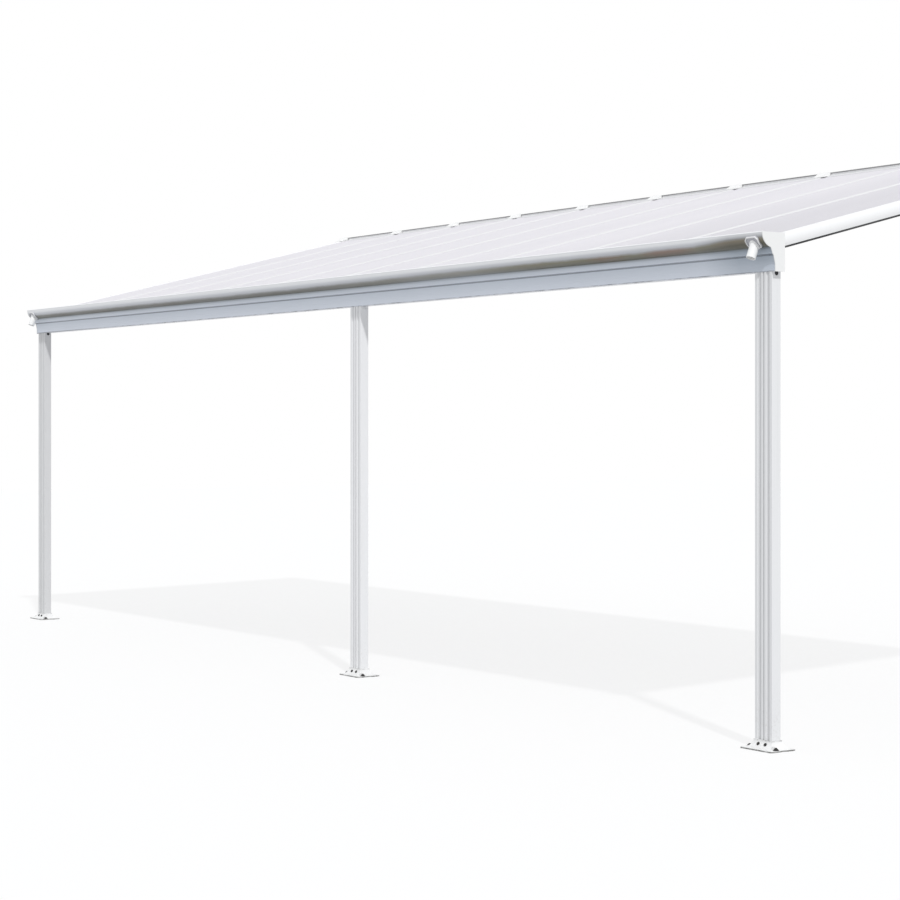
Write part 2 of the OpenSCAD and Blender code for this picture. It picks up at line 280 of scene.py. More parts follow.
def newGroup(name, ins, outs):
    group = bpy.data.node_groups.new(name, "ShaderNodeTree")
    for label, kind, value in ins:
        socket = group.interface.new_socket(name=label, in_out="INPUT", socket_type=kind)
        socket.default_value = value
    for label, kind in outs:
        group.interface.new_socket(name=label, in_out="OUTPUT", socket_type=kind)
    inlet = group.nodes.new("NodeGroupInput")
    outlet = group.nodes.new("NodeGroupOutput")
    return group, inlet.outputs, outlet.inputs


def placeGroup(tree, group, **values):
    node = tree.nodes.new("ShaderNodeGroup")
    node.node_tree = group
    for label, value in values.items():
        node.inputs[label.replace("_", " ")].default_value = value
    return node


def newMaterial(name):
    material = bpy.data.materials.new(name)
    material.use_nodes = True
    tree = material.node_tree
    return material, tree, tree.nodes["Principled BSDF"].inputs


def feed(tree, shader, colour, rough, normal=None):
    # leads a finish into its shader
    tree.links.new(colour, shader["Base Color"])
    tree.links.new(rough, shader["Roughness"])
    if normal is not None:
        tree.links.new(normal, shader["Normal"])


def dress(piece, material):
    piece.data.materials.clear()
    piece.data.materials.append(material)


# effects that several finishes share

coatLook = {
    # a noise, here and below, is its scale, detail and roughness
    "cloudNoise": (2.3, 4.0, 0.6),
    "cloudSpan": (0.35, 0.75),
    "upwardSpan": (0.1, 0.9),
    "onUpward": 0.6,            # dust that lies on upward faces
    "everywhere": 0.25,         # and on all the others
    "gritNoise": (160.0, 2.0, 0.7),
    "gritSpan": (0.55, 0.8),
    "gritShare": 0.35,
    "roughSpan": (0.3, 0.8, 0.3, 0.42),
    "dustRough": 0.6,
    "peelNoise": (700.0, 1.0, 0.5),
    "peelHeight": 0.0004,
    "peel": 0.06,
}


def buildPowderCoat():
    # sprayed coat: faint cloudiness, dust that lies on upward faces, orange peel
    look = coatLook
    group, inlet, outlet = newGroup(
        "powderCoat",
        [("Tint", "NodeSocketColor", (0.9, 0.9, 0.9, 1)),
         ("Dust", "NodeSocketColor", (0.6, 0.58, 0.52, 1)),
         ("Dust Amount", "NodeSocketFloat", 0.1),
         ("Peel Depth", "NodeSocketFloat", 0.05)],
        [("Color", "NodeSocketColor"), ("Roughness", "NodeSocketFloat"), ("Normal", "NodeSocketVector")])
    spot = objectSpot(group)
    upward = spanNode(group, facingAxes(group)[2], *look["upwardSpan"])
    cloud = noiseNode(group, spot, *look["cloudNoise"])
    speck = noiseNode(group, spot, *look["gritNoise"])
    lying = mathNode(group, "MULTIPLY_ADD", upward, look["onUpward"], look["everywhere"])
    patch = product(group, spanNode(group, cloud, *look["cloudSpan"]), lying)
    grit = product(group, spanNode(group, speck, *look["gritSpan"]), look["gritShare"])
    mask = mathNode(group, "ADD", patch, grit, clamp=True)
    amount = product(group, mask, inlet["Dust Amount"])
    group.links.new(mixColour(group, amount, inlet["Tint"], inlet["Dust"]), outlet["Color"])
    rough = spanNode(group, cloud, *look["roughSpan"])
    rough = mathNode(group, "MULTIPLY_ADD", amount, look["dustRough"], rough, clamp=True)
    group.links.new(rough, outlet["Roughness"])
    peel = noiseNode(group, spot, *look["peelNoise"])
    group.links.new(bumpNode(group, peel, inlet["Peel Depth"], look["peelHeight"]), outlet["Normal"])
    return group


runLook = {
    "down": 1.2,                # stretch of a mark down the face
    "streakNoise": (1.0, 5.0, 0.6),
    "streakSpan": (0.52, 0.78),
    "largeNoise": (1.7, 2.0, 0.5),
    "largeSpan": (0.35, 0.7),
    "width": 70.0,              # stretch across it
    "tint": (0.45, 0.44, 0.4, 1),
}


def buildRunMarks():
    # rain marks that run straight down a face
    look = runLook
    group, inlet, outlet = newGroup(
        "runMarks", [("Width", "NodeSocketFloat", 60.0)], [("Mask", "NodeSocketFloat")])
    spot = objectSpot(group)
    wide = group.nodes.new("ShaderNodeCombineXYZ")
    for socket in ("X", "Y"):
        group.links.new(inlet["Width"], wide.inputs[socket])
    wide.inputs["Z"].default_value = look["down"]
    streak = noiseNode(group, stretched(group, spot, wide.outputs[0]), *look["streakNoise"])
    large = noiseNode(group, spot, *look["largeNoise"])
    both = product(group, spanNode(group, streak, *look["streakSpan"]),
                   spanNode(group, large, *look["largeSpan"]))
    group.links.new(both, outlet["Mask"])
    return group


# the gutter's marks are painted light: shade, a highlight and reflections painted into its colour
gutterLook = {
    # heights over the gutter's underside, from where a mark starts to where it is full
    "duskUp": (0.1435, 0.121),
    "underShadeUp": (0.133, 0.122),
    "deepUp": (0.118, 0.099),
    "brimUp": (0.126, 0.148),
    "faceUp": (0.004, 0.066),
    "faceEnd": (0.067, 0.065),
    "bandUp": (0.066, 0.098),
    "bandEnd": (0.102, 0.099),
    "edgeUp": (0.0042, 0.0018),
    "leftEdgeUp": (0.0062, 0.003),
    "seamUp": 0.0664,
    "seamHalf": (0.004, 0.0022),
    # depths in front of the flat front
    "noseAhead": (0.018, 0.026),
    "brimAhead": (0.05, 0.055),
    "faceAhead": (-0.006, -0.002),
    # places along the wall
    "shadeX": (3.22, 3.44),
    "oliveX": (0.2, 1.7),
    "leftEdgeX": (-2.3, -3.1),
    "clearerX": 1.35,
    "clearerReach": (0.25, 0.75),
    "brownX": 3.04,
    "brownReach": (0.2, 0.08),
    "brownTooX": 2.62,
    "brownTooReach": (0.16, 0.04),
    # how strong each mark is
    "dusk": 0.6,
    "duskAtEnd": 0.3,
    "face": 0.34,
    "band": (0.06, 0.56),
    "shadeAtEnd": 0.5,
    "leftEdge": 0.75,
    "seam": 0.62,
    "deep": 0.85,
    "clearer": 0.66,
    "brownToo": 0.7,
    "oliveLeast": 0.3,
    "riseAtEnd": 0.014,         # marks reach this much higher near the right end
    "sinkAtLeft": 0.008,        # and this much lower on the left
    "lookingDown": (0.3, -0.2),
    # noises that are drawn out along the wall: stretch, noise, and the span that is used
    "patchy": ((1.3, 24.0, 24.0), (1.0, 4.0, 0.6), (0.25, 0.65, 0.8, 1.0)),
    "uneven": ((1.3, 24.0, 24.0), (0.7, 3.0, 0.6), (0.2, 0.7, 0.85, 1.1)),
    "edgeShadeNoise": ((14.0, 3.0, 3.0), (1.0, 3.0, 0.6), (0.35, 0.65, 0.2, 0.9)),
    "brownSpecks": ((2.2, 2.0, 2.0), (1.0, 2.0, 0.5), (0.54, 0.66, 0.0, 0.3)),
    "raggedStretch": (5.0, 9.0, 9.0),
    "raggedNoise": (1.0, 3.0, 0.6),
    "ragged": 0.012,
    # tints and coat
    "brimTint": (0.985, 0.99, 1.0, 1),
    "lineTint": (0.16, 0.175, 0.2, 1),
    "greyUnderShade": (0.25, 0.25, 0.255, 1),
    "dustAndShade": 0.08,
    "underShadeRough": 0.3,
}


def noiseAlong(tree, spot, stretch, noise, span):
    # noise drawn out along one way, and the part of it that is used
    return spanNode(tree, noiseNode(tree, stretched(tree, spot, stretch), *noise), *span)


def gutterShadeMasks(group, spot):
    # where each painted shade, painted highlight and painted reflection on the gutter lies
    look = gutterLook
    along, depth, height = axesOf(group, spot)
    up = mathNode(group, "SUBTRACT", height, plan["gutterZ"])
    ahead = mathNode(group, "SUBTRACT", plan["fasciaY"], depth)
    end = spanNode(group, along, *look["shadeX"])
    olive = spanNode(group, along, *look["oliveX"], look["oliveLeast"], 1.0)
    clearer = spanNode(group, farFrom(group, along, look["clearerX"]),
                       *look["clearerReach"], look["clearer"], 1.0)

    # the nose: painted shade half way down, painted shade and a painted reflection of the ground below it,
    # darkest painted shade where it turns in
    lift = mathNode(group, "MULTIPLY_ADD", end, -look["riseAtEnd"], up)
    sink = mathNode(group, "MULTIPLY_ADD", olive, -look["sinkAtLeft"], look["sinkAtLeft"])
    lift = mathNode(group, "ADD", lift, sink)
    outer = spanNode(group, ahead, *look["noseAhead"])
    facing = spanNode(group, facingAxes(group)[2], *look["lookingDown"])
    # painted shade half way down the nose, stronger at the right end
    duskShare = mathNode(group, "MULTIPLY_ADD", end, look["duskAtEnd"], look["dusk"])
    dusk = product(group, spanNode(group, lift, *look["duskUp"]), duskShare, outer)
    rough = noiseNode(group, stretched(group, spot, look["raggedStretch"]), *look["raggedNoise"])
    ragged = mathNode(group, "MULTIPLY_ADD", rough, look["ragged"], lift)
    underShade = product(group, spanNode(group, ragged, *look["underShadeUp"]), outer, facing,
                   noiseAlong(group, spot, *look["patchy"]), clearer)
    deep = spanNode(group, lift, *look["deepUp"], 0.0, look["deep"])
    # painted highlight along the top of the nose
    brim = product(group, spanNode(group, up, *look["brimUp"]), spanNode(group, ahead, *look["brimAhead"]))

    # the flat front and the band over it: cool painted shade, strongest at their tops and at the right end
    # and lighter lower down
    inFace = spanNode(group, up, *look["faceEnd"])
    inBand = mathNode(group, "SUBTRACT", 1.0, inFace)
    face = product(group, spanNode(group, up, *look["faceUp"], 0.0, look["face"]), inFace)
    band = product(group, spanNode(group, up, *look["bandUp"], *look["band"]), inBand)
    front = spanNode(group, ahead, *look["faceAhead"])
    below = product(group, spanNode(group, up, *look["bandEnd"]), front)
    cast = mathNode(group, "MULTIPLY_ADD", end, look["shadeAtEnd"], mathNode(group, "ADD", face, band))
    uneven = noiseAlong(group, spot, *look["uneven"])
    cool = mathNode(group, "MULTIPLY", product(group, cast, uneven), below, clamp=True)

    # painted shade lines along the lower edge, stronger on the left, and in the seam over the flat front
    edge = product(group, spanNode(group, up, *look["edgeUp"]), noiseAlong(group, spot, *look["edgeShadeNoise"]))
    leftEdge = product(group, spanNode(group, up, *look["leftEdgeUp"]),
                       spanNode(group, along, *look["leftEdgeX"], 0.0, look["leftEdge"]))
    seam = spanNode(group, farFrom(group, up, look["seamUp"]), *look["seamHalf"], 0.0, look["seam"])
    lines = mathNode(group, "MAXIMUM", mathNode(group, "MAXIMUM", edge, leftEdge), seam)

    # browner places in the painted shade under the nose
    specks = noiseAlong(group, spot, *look["brownSpecks"])
    first = spanNode(group, farFrom(group, along, look["brownX"]), *look["brownReach"])
    second = spanNode(group, farFrom(group, along, look["brownTooX"]),
                      *look["brownTooReach"], 0.0, look["brownToo"])
    brown = mathNode(group, "MAXIMUM", specks, mathNode(group, "MAXIMUM", first, second))
    return {"brim": brim, "below": below, "dusk": dusk, "cool": cool, "lines": product(group, lines, front),
            "underShade": underShade, "olive": olive, "brown": product(group, brown, olive), "deep": deep}


def buildGutterShade():
    # painted shade and a painted reflection of the ground under the nose of a gutter, a painted highlight
    # along its top, and cool painted shade and a painted reflection of the sky on the front below it
    look = gutterLook
    group, inlet, outlet = newGroup(
        "gutterPaintedShade",
        [("Tint", "NodeSocketColor", (0.88, 0.9, 0.95, 1)),
         ("Dusk", "NodeSocketColor", (0.3, 0.31, 0.33, 1)),
         ("Under Shade", "NodeSocketColor", (0.26, 0.24, 0.15, 1)),
         ("Brown Tint", "NodeSocketColor", (0.31, 0.19, 0.135, 1)),
         ("Deep", "NodeSocketColor", (0.07, 0.066, 0.034, 1)),
         ("Cool", "NodeSocketColor", (0.36, 0.42, 0.49, 1)),
         ("Face", "NodeSocketColor", (0.845, 0.895, 0.985, 1)),
         ("Under Shade Amount", "NodeSocketFloat", 0.92)],
        [("Color", "NodeSocketColor"), ("Under Shade Mask", "NodeSocketFloat")])
    masks = gutterShadeMasks(group, objectSpot(group))
    # painted highlight along the top of the nose
    pale = mixColour(group, masks["brim"], inlet["Tint"], look["brimTint"])
    # cool painted reflection of the sky on the front below the nose
    pale = mixColour(group, masks["below"], pale, inlet["Face"])
    # painted shade half way down the nose
    noseShaded = mixColour(group, masks["dusk"], pale, inlet["Dusk"])
    # cool painted shade on the front and the band
    cast = mixColour(group, masks["cool"], noseShaded, inlet["Cool"])
    # painted shade lines
    lined = mixColour(group, masks["lines"], cast, look["lineTint"])
    # olive painted shade and reflection of the ground in the middle and on the right, grey on the left
    underTint = mixColour(group, masks["olive"], look["greyUnderShade"], inlet["Under Shade"])
    underTint = mixColour(group, masks["brown"], underTint, inlet["Brown Tint"])
    underTint = mixColour(group, masks["deep"], underTint, inlet["Deep"])
    underShadeShare = mathNode(group, "MULTIPLY", masks["underShade"], inlet["Under Shade Amount"], clamp=True)
    group.links.new(mixColour(group, underShadeShare, lined, underTint), outlet["Color"])
    group.links.new(underShadeShare, outlet["Under Shade Mask"])
    return group


powderCoat = buildPowderCoat()
runMarks = buildRunMarks()
gutterPaintedShade = buildGutterShade()


# finishes

def rainStreaked(tree, coat, share):
    # a coat's colour with run marks over it
    marks = placeGroup(tree, runMarks, Width=runLook["width"])
    mask = product(tree, marks.outputs["Mask"], share)
    return mixColour(tree, mask, coat.outputs["Color"], runLook["tint"])


def coatedMetal(name, tint, dustAndShade=0.1, streaks=0.12):
    material, tree, shader = newMaterial(name)
    coat = placeGroup(tree, powderCoat, Tint=tint, Dust_Amount=dustAndShade, Peel_Depth=coatLook["peel"])
    colour = rainStreaked(tree, coat, streaks)
    feed(tree, shader, colour, coat.outputs["Roughness"], coat.outputs["Normal"])
    return material


def gutterPaint():
    look = gutterLook
    material, tree, shader = newMaterial("gutterWhite")
    # the gutter's colour carries painted shade, a painted highlight and painted reflections
    shadeGroup = placeGroup(tree, gutterPaintedShade)
    coat = placeGroup(tree, powderCoat, Dust_Amount=look["dustAndShade"], Peel_Depth=coatLook["peel"])
    tree.links.new(shadeGroup.outputs["Color"], coat.inputs["Tint"])
    rough = mathNode(tree, "MULTIPLY_ADD", shadeGroup.outputs["Under Shade Mask"], look["underShadeRough"],
                     coat.outputs["Roughness"], clamp=True)
    feed(tree, shader, coat.outputs["Color"], rough, coat.outputs["Normal"])
    return material


sheetLook = {
    "tint": (0.735, 0.715, 0.75, 1),
    "hazeTint": (0.775, 0.755, 0.785, 1),
    "hazeStretch": (3.0, 0.8, 0.8),
    "hazeNoise": (1.0, 3.0, 0.5),
    "hazeSpan": (0.3, 0.7),
    "rib": 0.016,               # from one inner rib to the next
    "ribSpan": (0.7, 1.0),
    "ribShade": 0.1,
    "ribTint": (0.48, 0.47, 0.52, 1),
    "ribBump": 0.14,
    "ribHeight": 0.0006,
    "silt": ((9.0, 1.2, 1.2), (1.0, 4.0, 0.6), (0.42, 0.75, 0.0, 0.16)),
    "siltY": (-1.9, -2.45),
    "siltTint": (0.42, 0.4, 0.35, 1),
    "endShade": 0.24,
    "endX": (2.3, 3.6),
    "endLean": -0.25,           # the grey starts a little nearer the middle at the gutter
    "endTint": (0.4, 0.395, 0.42, 1),
    "rough": (0.5, 0.6),
    "gloss": 0.3,
}


def roofSheet():
    # twin-wall sheet: the inner ribs show as faint lines that run down the slope
    look = sheetLook
    material, tree, shader = newMaterial("twinWallSheet")
    spot = objectSpot(tree)
    along, depth = axesOf(tree, spot)[:2]
    wave = mathNode(tree, "SINE", product(tree, along, 2 * math.pi / look["rib"]))
    rib = spanNode(tree, wave, *look["ribSpan"])
    haze = noiseNode(tree, stretched(tree, spot, look["hazeStretch"]), *look["hazeNoise"])
    pale = mixColour(tree, spanNode(tree, haze, *look["hazeSpan"]), look["tint"], look["hazeTint"])
    ribbed = mixColour(tree, product(tree, rib, look["ribShade"]), pale, look["ribTint"])
    # silt that gathers above the gutter and fades up the slope
    silt = product(tree, noiseAlong(tree, spot, *look["silt"]), spanNode(tree, depth, *look["siltY"]))
    silted = mixColour(tree, silt, ribbed, look["siltTint"])
    # painted shade: the sheets darken a little towards the open right end
    reach = mathNode(tree, "MULTIPLY_ADD", depth, look["endLean"], along)
    endShading = spanNode(tree, reach, *look["endX"], 0.0, look["endShade"])
    feed(tree, shader, mixColour(tree, endShading, silted, look["endTint"]),
         spanNode(tree, haze, *look["hazeSpan"], *look["rough"]),
         bumpNode(tree, rib, look["ribBump"], look["ribHeight"]))
    shader["Specular IOR Level"].default_value = look["gloss"]
    return material


rubberLook = {
    "grainNoise": (90.0, 3.0, 0.6),
    "grainSpan": (0.5, 0.8, 0.0, 0.3),
    "grainTint": (0.14, 0.135, 0.125, 1),
    "bloomNoise": (4.0, 3.0, 0.6),
    "bloomSpan": (0.4, 0.75),
    "roughSpan": (0.2, 0.8, 0.62, 0.86),
    "bump": 0.2,
    "bumpHeight": 0.0005,
}


def rubber(name, dull, bloomed):
    look = rubberLook
    material, tree, shader = newMaterial(name)
    spot = objectSpot(tree)
    grain = noiseNode(tree, spot, *look["grainNoise"])
    bloom = noiseNode(tree, spot, *look["bloomNoise"])
    dark = mixColour(tree, spanNode(tree, bloom, *look["bloomSpan"]), dull, bloomed)
    grained = mixColour(tree, spanNode(tree, grain, *look["grainSpan"]), dark, look["grainTint"])
    feed(tree, shader, grained, spanNode(tree, grain, *look["roughSpan"]),
         bumpNode(tree, grain, look["bump"], look["bumpHeight"]))
    return material


postLook = {
    "tint": (0.865, 0.868, 0.875, 1),
    "leftShadedTint": (0.76, 0.763, 0.768, 1),
    "middleLitTint": (0.94, 0.942, 0.95, 1),
    "leftReach": (1.0, 0.5),            # from the middle of a post, along the wall
    "middleReach": (0.4, 0.2),
    "dustAndShade": 0.08,
    "streaks": 0.14,
    "broadSpan": (0.3, 0.75),           # how squarely a face looks away from the wall
    "fluteAway": (0.0236, 0.0196),      # from the middle of a post, across the wall
    "fluteShade": 0.22,
    "narrowReach": (0.0056, 0.004),
    "narrowAway": (0.0238, 0.0215),
    "narrowShade": 0.42,
    "fluteShadeTint": (0.3, 0.305, 0.315, 1),
    "splashUp": (0.3, 0.03),            # over the ground
    "speckNoise": (90.0, 5.0, 0.7),
    "speckSpan": (0.52, 0.72, 0.0, 0.3),
    "splashTint": (0.4, 0.37, 0.31, 1),
}


def postCoat():
    # as the frame, with painted shade down in the flutes
    look = postLook
    material, tree, shader = newMaterial("postWhite")
    coat = placeGroup(tree, powderCoat, Dust_Amount=look["dustAndShade"], Peel_Depth=coatLook["peel"])
    spot = objectSpot(tree)
    along, depth, height = axesOf(tree, spot)
    left, middle, right = plan["postX"]
    fromMiddle = farFrom(tree, along, middle)
    # painted shade and painted light: the same paint is darker on the left post and lighter on the middle one
    nearLeft = spanNode(tree, mathNode(tree, "SUBTRACT", along, left), *look["leftReach"])
    tint = mixColour(tree, nearLeft, look["tint"], look["leftShadedTint"])
    tint = mixColour(tree, spanNode(tree, fromMiddle, *look["middleReach"]), tint, look["middleLitTint"])
    tree.links.new(tint, coat.inputs["Tint"])

    away = farFrom(tree, depth, plan["postY"])
    broad = spanNode(tree, mathNode(tree, "ABSOLUTE", facingAxes(tree)[1]), *look["broadSpan"])
    wide = product(tree, spanNode(tree, away, *look["fluteAway"]), broad, look["fluteShade"])
    # the painted shade is strongest in the narrow flute in the middle of a post
    fromEnd = farFrom(tree, mathNode(tree, "ABSOLUTE", along), right)
    nearest = mathNode(tree, "MINIMUM", fromEnd, fromMiddle)
    narrow = product(tree, spanNode(tree, nearest, *look["narrowReach"]),
                     spanNode(tree, away, *look["narrowAway"]), look["narrowShade"])
    # painted shade in the flutes
    dustAndShade = mathNode(tree, "MAXIMUM", wide, narrow)
    fluteShaded = mixColour(tree, dustAndShade, rainStreaked(tree, coat, look["streaks"]), look["fluteShadeTint"])

    # soil splashed up from the ground
    up = mathNode(tree, "SUBTRACT", height, plan["groundZ"])
    specks = spanNode(tree, noiseNode(tree, spot, *look["speckNoise"]), *look["speckSpan"])
    splashAndShade = product(tree, spanNode(tree, up, *look["splashUp"]), specks)
    colour = mixColour(tree, splashAndShade, fluteShaded, look["splashTint"])
    feed(tree, shader, colour, coat.outputs["Roughness"], coat.outputs["Normal"])
    return material


footFinish = {
    "tint": (0.93, 0.93, 0.925, 1),
    "dustAndShade": 0.1,
    # heights over the ground
    "edgeUp": (0.0075, 0.0045),
    "jointUp": (0.0335, 0.0385),
    "riseUp": (0.045, 0.006),
    "uprightSpan": (0.7, 0.4),
    "edgeBreakNoise": (35.0, 4.0, 0.65),
    "edgeBreakSpan": (0.35, 0.6, 0.45, 1.0),
    "jointNoise": (55.0, 3.0, 0.6),
    "jointSpan": (0.4, 0.6, 0.0, 0.5),
    "riseNoise": (70.0, 5.0, 0.7),
    "riseSpan": (0.5, 0.8, 0.0, 0.3),
    "darkening": 0.85,
    "darkeningRough": 0.4,
    "riseTint": (0.42, 0.39, 0.33, 1),
    "darkeningTint": (0.07, 0.068, 0.06, 1),
}


def footCoat():
    # painted shade as a dark line along the edge that stands on the ground, darker patches in the joint where
    # the flare meets the post, and soil specks low down
    look = footFinish
    material, tree, shader = newMaterial("footWhite")
    coat = placeGroup(tree, powderCoat, Tint=look["tint"], Dust_Amount=look["dustAndShade"],
                      Peel_Depth=coatLook["peel"])
    spot = objectSpot(tree)
    up = mathNode(tree, "SUBTRACT", axesOf(tree, spot)[2], plan["groundZ"])
    upright = spanNode(tree, mathNode(tree, "ABSOLUTE", facingAxes(tree)[2]), *look["uprightSpan"])
    splashAndShade = spanNode(tree, noiseNode(tree, spot, *look["edgeBreakNoise"]), *look["edgeBreakSpan"])
    # painted shade along the lower edge, where the foot meets the ground
    edge = product(tree, spanNode(tree, up, *look["edgeUp"]), upright, splashAndShade)
    # darker in patches in the joint where the flare meets the post
    lumps = spanNode(tree, noiseNode(tree, spot, *look["jointNoise"]), *look["jointSpan"])
    joint = product(tree, spanNode(tree, up, *look["jointUp"]), lumps)
    darkening = mathNode(tree, "MAXIMUM", edge, joint)
    specks = spanNode(tree, noiseNode(tree, spot, *look["riseNoise"]), *look["riseSpan"])
    rise = product(tree, spanNode(tree, up, *look["riseUp"]), specks)
    dusty = mixColour(tree, rise, coat.outputs["Color"], look["riseTint"])
    darkened = mixColour(tree, product(tree, darkening, look["darkening"]), dusty, look["darkeningTint"])
    rough = mathNode(tree, "MULTIPLY_ADD", darkening, look["darkeningRough"], coat.outputs["Roughness"], clamp=True)
    feed(tree, shader, darkened, rough, coat.outputs["Normal"])
    return material


spoutLook = {
    "plateRadius": (0.0648, 0.0636),    # the collar's plate, from the nose's own middle
    "tint": (0.96, 0.96, 0.955, 1),
    "plateTint": (0.5, 0.5, 0.535, 1),
    "dustAndShade": 0.05,
    "peel": 0.05,
}


def spoutCoat():
    # bright stub, and painted shade on the collar inside its raised rim
    look = spoutLook
    material, tree, shader = newMaterial("spoutWhite")
    coat = placeGroup(tree, powderCoat, Dust_Amount=look["dustAndShade"], Peel_Depth=look["peel"])
    depth, height = axesOf(tree, objectSpot(tree))[1:]
    dy = mathNode(tree, "SUBTRACT", depth, plan["fasciaY"] - plan["noseAhead"])
    dz = mathNode(tree, "SUBTRACT", height, plan["gutterZ"] + plan["noseUp"])
    squares = mathNode(tree, "ADD", product(tree, dy, dy), product(tree, dz, dz))
    # painted shade on the collar's plate
    plate = spanNode(tree, mathNode(tree, "SQRT", squares), *look["plateRadius"])
    tree.links.new(mixColour(tree, plate, look["tint"], look["plateTint"]), coat.inputs["Tint"])
    feed(tree, shader, coat.outputs["Color"], coat.outputs["Roughness"], coat.outputs["Normal"])
    return material


frameWhite = coatedMetal("frameWhite", (0.88, 0.88, 0.885, 1))
edgeWhite = coatedMetal("endRafterWhite", (0.94, 0.94, 0.94, 1), dustAndShade=0.05, streaks=0.05)
capWhite = coatedMetal("capWhite", (0.77, 0.77, 0.775, 1), dustAndShade=0.06, streaks=0.0)
trimWhite = coatedMetal("trimWhite", (0.68, 0.68, 0.705, 1), streaks=0.0)
fittingWhite = coatedMetal("fittingWhite", (0.92, 0.92, 0.91, 1), dustAndShade=0.08)
postWhite = postCoat()
footWhite = footCoat()
spoutWhite = spoutCoat()
gutterWhite = gutterPaint()
sheetPale = roofSheet()
sealDark = rubber("sealRubber", (0.028, 0.028, 0.03, 1), (0.085, 0.085, 0.085, 1))
sealGrey = rubber("wallSealRubber", (0.26, 0.26, 0.26, 1), (0.36, 0.36, 0.355, 1))

# the start of a node's name and the finish that it takes, the first that fits
finishes = (
    ("wall_seal", sealGrey),
    ("side_seals", sealDark),
    ("rafter_left", edgeWhite),
    ("rafter_right", edgeWhite),
    ("rafter_caps", capWhite),
    ("rafter_hoods", fittingWhite),
    ("panel_trims", trimWhite),
    ("panel_", sheetPale),
    ("post_", postWhite),
    ("spout_", spoutWhite),
    ("foot_", footWhite),
    ("gutter_cap", fittingWhite),
    ("ledger_cap", fittingWhite),
    ("gutter", gutterWhite),
    ("", frameWhite),
)

for name, node in nodes.items():
    dress(node, next(finish for start, finish in finishes if name.startswith(start)))
print("materials ready")


# fasteners and plugs

edgeLook = {
    "steps": 2,
    "bevelFrom": 35,            # degrees
    "smoothTo": 40,
    "upward": 0.9,              # least rise of the normal of a face that looks up
}


def leaveEdit():
    bpy.ops.object.mode_set(mode="OBJECT")


def pickTop(piece):
    # picks the faces that look up, and stays in edit mode
    pickOnly(piece)
    bpy.ops.object.mode_set(mode="EDIT")
    bpy.ops.mesh.select_mode(type="FACE")
    bpy.ops.mesh.select_all(action="DESELECT")
    leaveEdit()
    for face in piece.data.polygons:
        face.select = face.normal.z > edgeLook["upward"]
    bpy.ops.object.mode_set(mode="EDIT")


def addCylinder(name, sides, radius, low, high):
    clearPick()
    middle = (0, 0, (low + high) / 2)
    bpy.ops.mesh.primitive_cylinder_add(vertices=sides, radius=radius, depth=high - low, location=middle)
    piece = bpy.context.active_object
    piece.name = name
    settlePlace(piece)
    return piece


def softenEdges(piece, width):
    pickOnly(piece)
    rounding = piece.modifiers.new("rounding", "BEVEL")
    rounding.width = width
    rounding.segments = edgeLook["steps"]
    rounding.limit_method = "ANGLE"
    rounding.angle_limit = math.radians(edgeLook["bevelFrom"])
    bpy.ops.object.modifier_apply(modifier="rounding")
    bpy.ops.object.shade_smooth_by_angle(angle=math.radians(edgeLook["smoothTo"]))


def joinPieces(name, pieces):
    clearPick()
    for piece in pieces:
        piece.select_set(True)
    bpy.context.view_layer.objects.active = pieces[0]
    bpy.ops.object.join()
    whole = bpy.context.active_object
    whole.name = name
    return whole


def twinOf(piece, place, turn):
    # a copy with its own mesh
    twin = piece.copy()
    twin.data = piece.data.copy()
    bpy.context.scene.collection.objects.link(twin)
    twin.location = place
    twin.rotation_euler = turn
    settlePlace(twin)
    return twin


def spread(piece, name, spots):
    # copies of a piece, each at a place and with its +Z along a direction
    twins = []
    for place, towards in spots:
        twins.append(twinOf(piece, place, Vector(towards).to_track_quat("Z", "Y").to_euler()))
    bpy.data.objects.remove(piece)
    return joinPieces(name, twins)


def settle(piece, material):
    dress(piece, material)
    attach(piece, "root")


zincLook = {
    "dark": (0.03, 0.03, 0.032, 1),
    "darkWorn": (0.085, 0.08, 0.075, 1),
    "darkNoise": (260.0, 3.0, 0.6),
    "darkSpan": (0.35, 0.7),
    "darkRough": (0.3, 0.7, 0.38, 0.55),
    "darkMetal": 0.6,
    "pale": (0.62, 0.63, 0.65, 1),
    "paleWorn": (0.42, 0.43, 0.45, 1),
    "paleNoise": (90.0, 3.0, 0.6),
    "paleRough": (0.3, 0.7, 0.28, 0.45),
    "paleMetal": 0.9,
    "spangleScale": 420.0,
    "spangle": 0.5,
}


def zincDark():
    look = zincLook
    material, tree, shader = newMaterial("darkZinc")
    cloud = noiseNode(tree, objectSpot(tree), *look["darkNoise"])
    worn = mixColour(tree, spanNode(tree, cloud, *look["darkSpan"]), look["dark"], look["darkWorn"])
    feed(tree, shader, worn, spanNode(tree, cloud, *look["darkRough"]))
    shader["Metallic"].default_value = look["darkMetal"]
    return material


def zincPale():
    look = zincLook
    material, tree, shader = newMaterial("paleZinc")
    spot = objectSpot(tree)
    spangle = tree.nodes.new("ShaderNodeTexVoronoi")
    spangle.inputs["Scale"].default_value = look["spangleScale"]
    tree.links.new(spot, spangle.inputs["Vector"])
    cloud = noiseNode(tree, spot, *look["paleNoise"])
    shade = mathNode(tree, "MULTIPLY_ADD", spangle.outputs["Distance"], look["spangle"], cloud, clamp=True)
    feed(tree, shader, mixColour(tree, shade, look["pale"], look["paleWorn"]),
         spanNode(tree, cloud, *look["paleRough"]))
    shader["Metallic"].default_value = look["paleMetal"]
    return material


darkZinc = zincDark()
paleZinc = zincPale()

hexagon = 6

